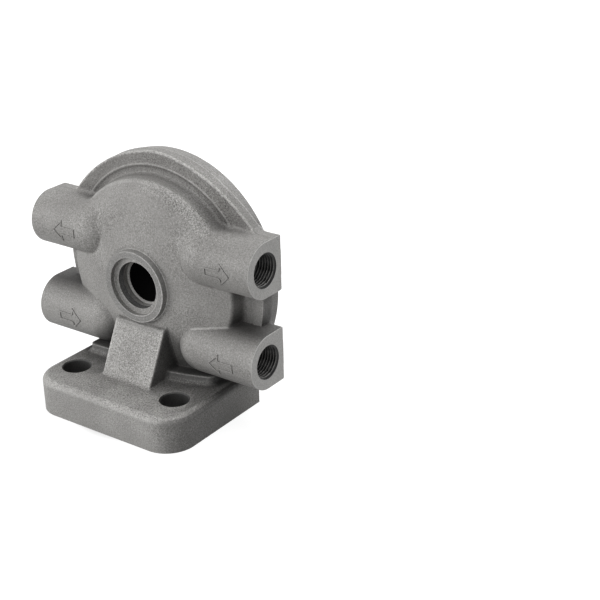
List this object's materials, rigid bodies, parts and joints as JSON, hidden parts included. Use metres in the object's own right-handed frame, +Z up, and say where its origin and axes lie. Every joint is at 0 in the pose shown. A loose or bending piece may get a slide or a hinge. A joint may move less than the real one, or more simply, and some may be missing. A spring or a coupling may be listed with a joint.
{
  "type": "fuel filter head",
  "caption": "Cast filter head: a round cup with a threaded central boss, threaded ports on both sides and a flat mounting flange.",
  "frame": {"origin": "centre of the flange's underside", "axes": "+X to the right, seen from the closed front; -Y towards the closed front; +Y towards the filter; +Z up from the flange"},
  "size_m": [0.128, 0.0741, 0.1196],
  "materials": {
    "cast_aluminium": "raw, matte casting"
  },
  "bodies": {
    "root": {"head_casting": "cast_aluminium"}
  },
  "joints": []
}
